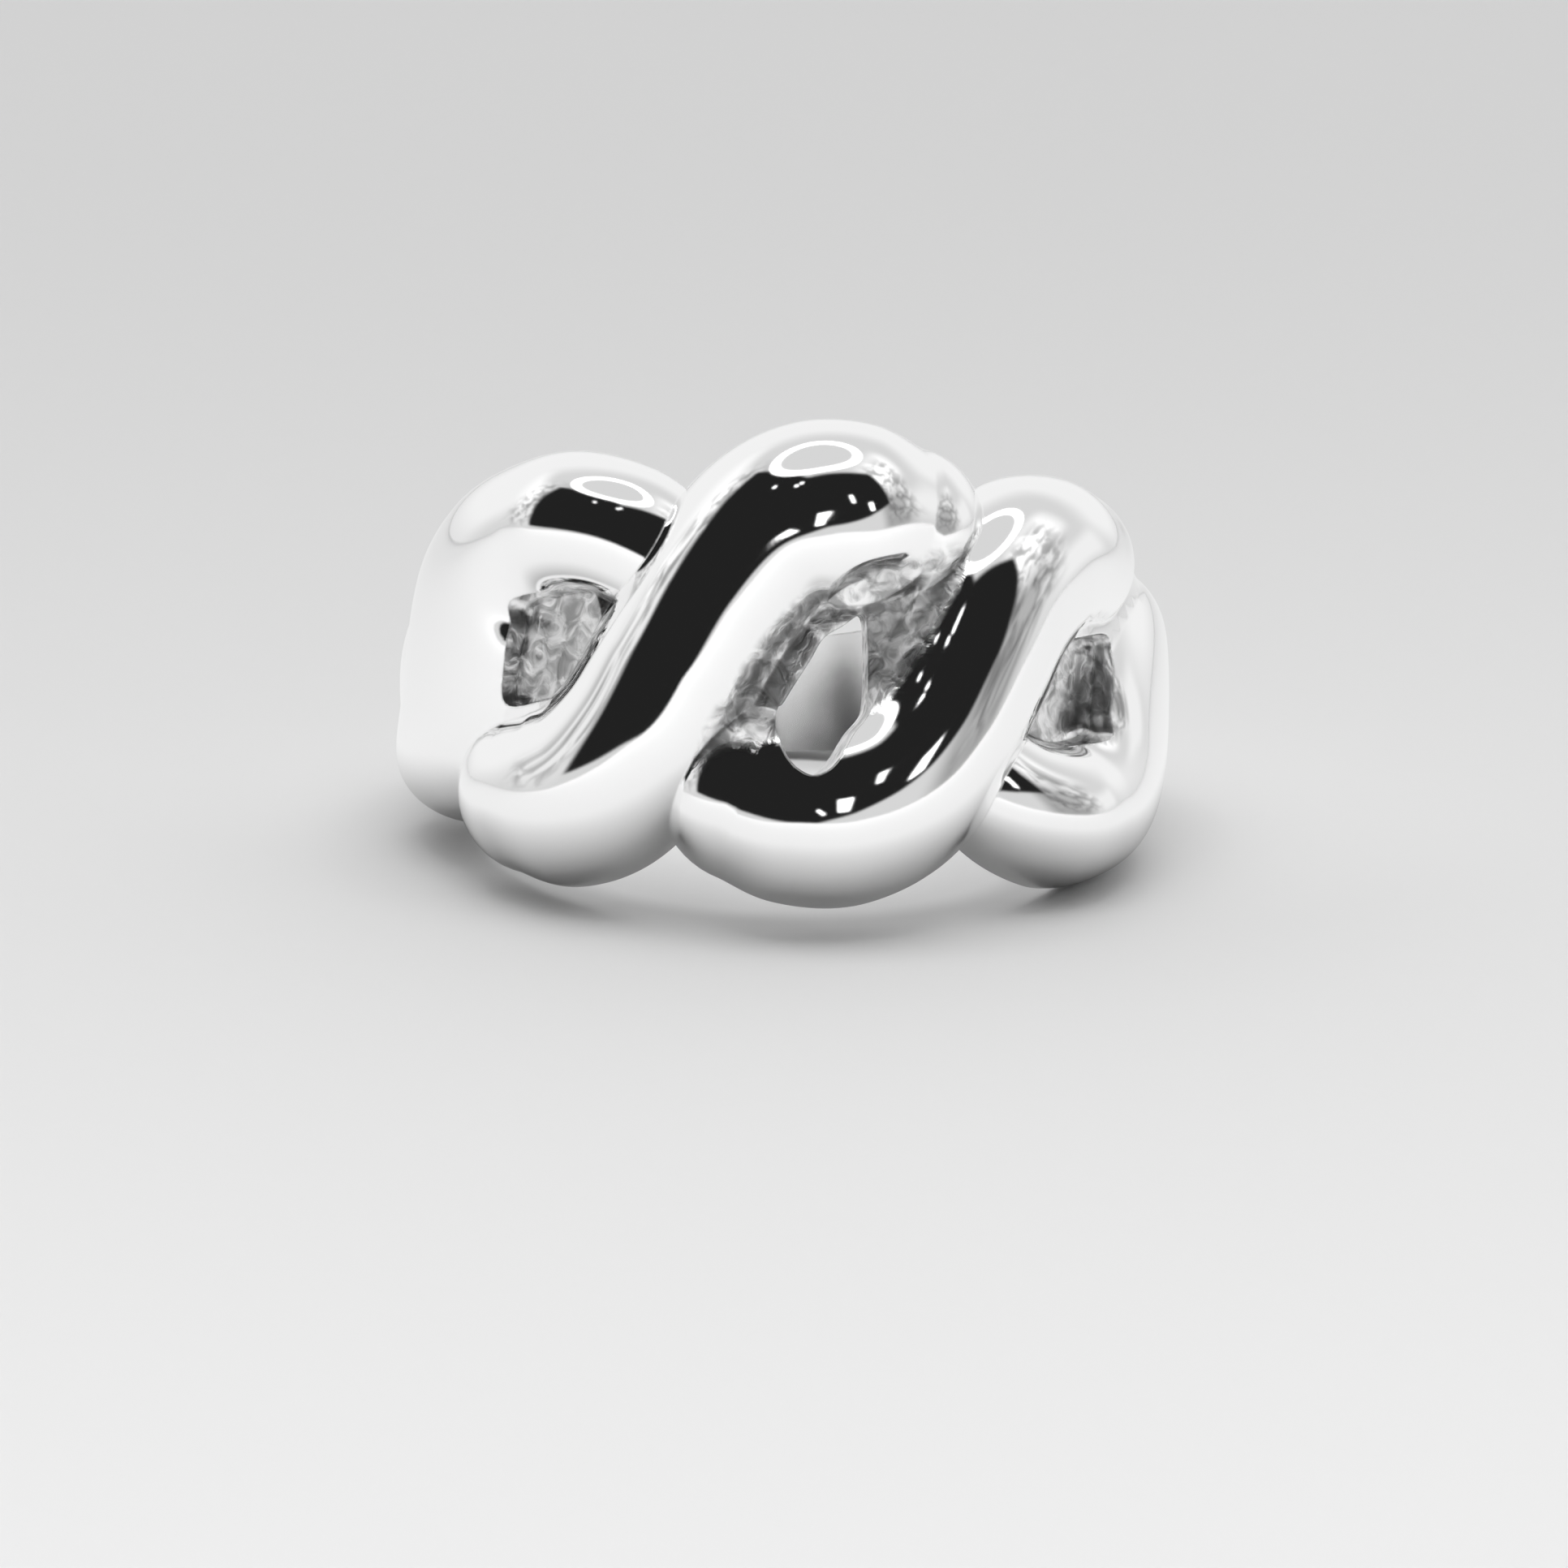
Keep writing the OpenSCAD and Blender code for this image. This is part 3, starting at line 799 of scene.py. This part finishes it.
def studio_world(look):
    """World of the studio: a pale room, a dark one behind the camera, and soft cards."""
    world = bpy.data.worlds.new("Studio")
    world.use_nodes = True
    # The tent is nearly even, so bounced light alone finds it well and the picture takes less time.
    world.cycles.sampling_method = "NONE"
    nodes, links = world.node_tree.nodes, world.node_tree.links
    background, output = nodes["Background"], nodes["World Output"]
    where = nodes.new("ShaderNodeTexCoord").outputs["Generated"]
    edge = edge_group()

    def product(edges):
        """Mask of the places inside all of some edges."""
        total = None
        for pole, softness, *offset in edges:
            node = nodes.new("ShaderNodeGroup")
            node.node_tree = edge
            links.new(where, node.inputs["Direction"])
            node.inputs["Pole"].default_value = pole
            node.inputs["Softness"].default_value = softness
            node.inputs["Offset"].default_value = offset[0] if offset else 0.0
            mask = node.outputs["Mask"]
            total = mask if total is None else math_node(nodes, links, "MULTIPLY", total, mask)
        return total

    def card_mask(card):
        """Mask of the places inside a card."""
        return product([(pole, card[SOFTNESS]) for pole in card_edges(*card[:SOFTNESS])])

    def laid_over(under, mask, bright):
        """Brightness with a card laid over it where the mask is 1."""
        return mixed(nodes, links, mask, under, bright)

    value = look.tent
    for card in GREY_CARDS + BRIGHT_CARDS:
        value = laid_over(value, card_mask(card), card[BRIGHT])
    crease = step_node(nodes, links, noise_node(nodes, links, where, *CREASE_NOISE), CREASE_EDGES)
    for card in CREASES:
        shade = math_node(nodes, links, "MULTIPLY", value, mixed(nodes, links, crease, *CREASE_SHARES))
        value = laid_over(value, card_mask(card), shade)
    for edges in DARK_CARDS:
        mask = product([(edge_pole(start, end), softness) for start, end, softness in edges])
        value = laid_over(value, mask, look.dark)
    for card in LAMPS:
        value = laid_over(value, card_mask(card), card[BRIGHT])
    outer, inner, softness, bright = RING_LIGHT
    outside = product([((0, 0, 1), softness, outer)])
    inside = product([((0, 0, 1), softness, inner)])
    value = laid_over(value, math_node(nodes, links, "SUBTRACT", outside, inside), bright)
    links.new(value, background.inputs["Color"])
    seen = nodes.new("ShaderNodeBackground")
    seen.inputs["Color"].default_value = BACKDROP
    path = nodes.new("ShaderNodeLightPath")
    choose = nodes.new("ShaderNodeMixShader")
    links.new(path.outputs["Is Camera Ray"], choose.inputs["Fac"])
    links.new(background.outputs[0], choose.inputs[1])
    links.new(seen.outputs[0], choose.inputs[2])
    links.new(choose.outputs[0], output.inputs["Surface"])
    return world


# The floor reaches this far each way, and its painted light fades from front to back between these places
FLOOR_HALF = 3.0
FLOOR_LIGHT_FADE = (-0.15, 0.10)
FLOOR_ROUGH, FLOOR_GLOSS = 0.9, 0.1

# Painted shadow and painted light on the floor as mirrored in the silver: distances from the ring's
# middle over which its brightness changes, and its share of the floor's own within and beyond them
MIRRORED_SHADOW_EDGES = (7 * MM, 19 * MM)
MIRRORED_SHADOW_GAINS = (0.50, 1.20)

# The light that falls through the finger hole brightens the floor inside it
INSIDE_EDGES = (7 * MM, 8.5 * MM)
INSIDE_GAIN = 1.25


def floor_paint(look):
    """Matt floor paint, with painted light: a little paler in front of the ring than behind it.

    Mirrored in the silver it carries a painted shadow under the ring and is painted paler further out,
    by its distance from the ring's middle.
    """
    paint = bpy.data.materials.new("Floor Paint")
    paint.use_nodes = True
    nodes, links = paint.node_tree.nodes, paint.node_tree.links
    shader = nodes["Principled BSDF"]
    shader.inputs["Roughness"].default_value = FLOOR_ROUGH
    shader.inputs["Specular IOR Level"].default_value = FLOOR_GLOSS
    place = nodes.new("ShaderNodeSeparateXYZ")
    where = nodes.new("ShaderNodeTexCoord").outputs["Object"]
    links.new(where, place.inputs[0])
    painted_light_tone = nodes.new("ShaderNodeMix")
    painted_light_tone.data_type = "RGBA"
    links.new(step_node(nodes, links, place.outputs["Y"], FLOOR_LIGHT_FADE), painted_light_tone.inputs["Factor"])
    painted_light_tone.inputs[6].default_value = look.floor
    painted_light_tone.inputs[7].default_value = look.floor_far_shaded
    away = vector_node(nodes, links, "LENGTH", where, (0.0, 0.0, 0.0)).outputs["Value"]
    # Painted shadow under the ring and painted light further out, seen only in the silver's mirror; other
    # rays see the painted light inside the finger hole.
    mirrored = mixed(nodes, links, step_node(nodes, links, away, MIRRORED_SHADOW_EDGES), *MIRRORED_SHADOW_GAINS)
    inside = mixed(nodes, links, step_node(nodes, links, away, INSIDE_EDGES), INSIDE_GAIN, 1.0)
    glossy = nodes.new("ShaderNodeLightPath").outputs["Is Glossy Ray"]
    gain = nodes.new("ShaderNodeVectorMath")
    gain.operation = "SCALE"
    links.new(painted_light_tone.outputs[2], gain.inputs[0])
    links.new(mixed(nodes, links, glossy, inside, mirrored), gain.inputs["Scale"])
    links.new(gain.outputs[0], shader.inputs["Base Color"])
    return paint


def soft_light(name, azimuth, elevation, distance, width, height, watts):
    """Soft rectangular light in a direction from the ring, facing it and not mirrored in it."""
    lamp = bpy.data.lights.new(name, "AREA")
    lamp.shape = "RECTANGLE"
    lamp.size, lamp.size_y = width, height
    lamp.energy = watts
    made = bpy.data.objects.new(name, lamp)
    bpy.context.scene.collection.objects.link(made)
    way = Vector(direction(azimuth, elevation))
    made.location = way * distance
    made.rotation_euler = way.to_track_quat("Z", "Y").to_euler()
    made.visible_glossy = False
    made.visible_camera = False


# Soft light over the floor: azimuth, elevation, distance, width and height
FILL_LIGHT = (-20, 75, 0.9, 1.0, 1.0)

# Where the picture shows the finger hole's axis and the front's middle, in its own pixels from the
# left and from the top, its side, and the camera's sensor in millimetres
AXIS_X = 962
FRONT_Y = 814
FRAME_SIDE = 1932
SENSOR = 36


class RING_OT_stage(bpy.types.Operator):
    """Set the floor, the studio light and the camera"""

    bl_idname = "ring.stage"
    bl_label = "Set Stage"

    def execute(self, context):
        look, sizes = context.scene.stage_look, context.scene.ring_sizes
        scene = context.scene
        corners = [(x * FLOOR_HALF, y * FLOOR_HALF, 0) for x, y in ((-1, -1), (1, -1), (1, 1), (-1, 1))]
        mesh = bpy.data.meshes.new("floor")
        mesh.from_pydata(corners, [], [(0, 1, 2, 3)])
        mesh.materials.append(floor_paint(look))
        new_object("floor", mesh)
        scene.world = studio_world(look)
        scene.view_settings.view_transform = "Standard"
        soft_light("overhead_fill", *FILL_LIGHT, look.fill)
        self.camera(scene, look, sizes)
        return {"FINISHED"}

    def camera(self, scene, look, sizes):
        """Camera at the photograph's angle: the ring's axis and front stand at set places."""
        lean = resting_lean(sizes)
        centre = np.array(RING_MIDDLE) * MM
        front = centre + sizes.crown_d / 2 * np.array([0, -math.cos(lean), math.sin(lean)])
        a, e, r = look.azimuth, look.elevation, look.roll
        back = np.array([math.sin(a) * math.cos(e), -math.cos(a) * math.cos(e), math.sin(e)])
        right = np.array([math.cos(a), math.sin(a), 0])
        up = np.cross(back, right)
        right, up = right * math.cos(r) + up * math.sin(r), up * math.cos(r) - right * math.sin(r)
        place = centre + back * look.distance
        lens = SENSOR * look.distance / look.frame_w
        data = bpy.data.cameras.new("camera")
        data.sensor_width = data.sensor_height = SENSOR
        data.lens = lens
        data.clip_start = MM
        eye = bpy.data.objects.new("camera", data)
        scene.collection.objects.link(eye)
        eye.matrix_world = Matrix([[right[k], up[k], back[k], place[k]] for k in range(3)] + [[0, 0, 0, 1]])

        def seen(point):
            """Place of a point in the unshifted picture, from 0 to 1 across and up."""
            q = point - place
            depth = -q @ back
            return 0.5 + lens / SENSOR * (q @ right) / depth, 0.5 + lens / SENSOR * (q @ up) / depth

        data.shift_x = seen(centre)[0] - AXIS_X / FRAME_SIDE
        data.shift_y = seen(front)[1] - (1 - FRONT_Y / FRAME_SIDE)
        scene.camera = eye


class RING_PT_panel(bpy.types.Panel):
    """Sizes, finish and stage of the ring"""

    bl_label = "Ring"
    bl_idname = "RING_PT_panel"
    bl_space_type = "VIEW_3D"
    bl_region_type = "UI"
    bl_category = "Ring"

    def draw(self, context):
        for group in (context.scene.ring_sizes, context.scene.silver_look, context.scene.stage_look):
            box = self.layout.box()
            for name in group.__annotations__:
                box.prop(group, name)
        self.layout.operator("ring.casting")
        self.layout.operator("ring.stage")


CLASSES = (RingSizes, SilverLook, StageLook, RING_OT_casting, RING_OT_stage, RING_PT_panel)


def register():
    """Add the classes, and the settings that hang on the scene."""
    for cls in CLASSES:
        bpy.utils.register_class(cls)
    bpy.types.Scene.ring_sizes = PointerProperty(type=RingSizes)
    bpy.types.Scene.silver_look = PointerProperty(type=SilverLook)
    bpy.types.Scene.stage_look = PointerProperty(type=StageLook)


def unregister():
    """Take the settings and the classes away again."""
    del bpy.types.Scene.stage_look
    del bpy.types.Scene.silver_look
    del bpy.types.Scene.ring_sizes
    for cls in reversed(CLASSES):
        bpy.utils.unregister_class(cls)


def main():
    """Build the ring and its stage."""
    register()
    bpy.ops.ring.casting()
    bpy.ops.ring.stage()


if __name__ == "__main__":
    main()
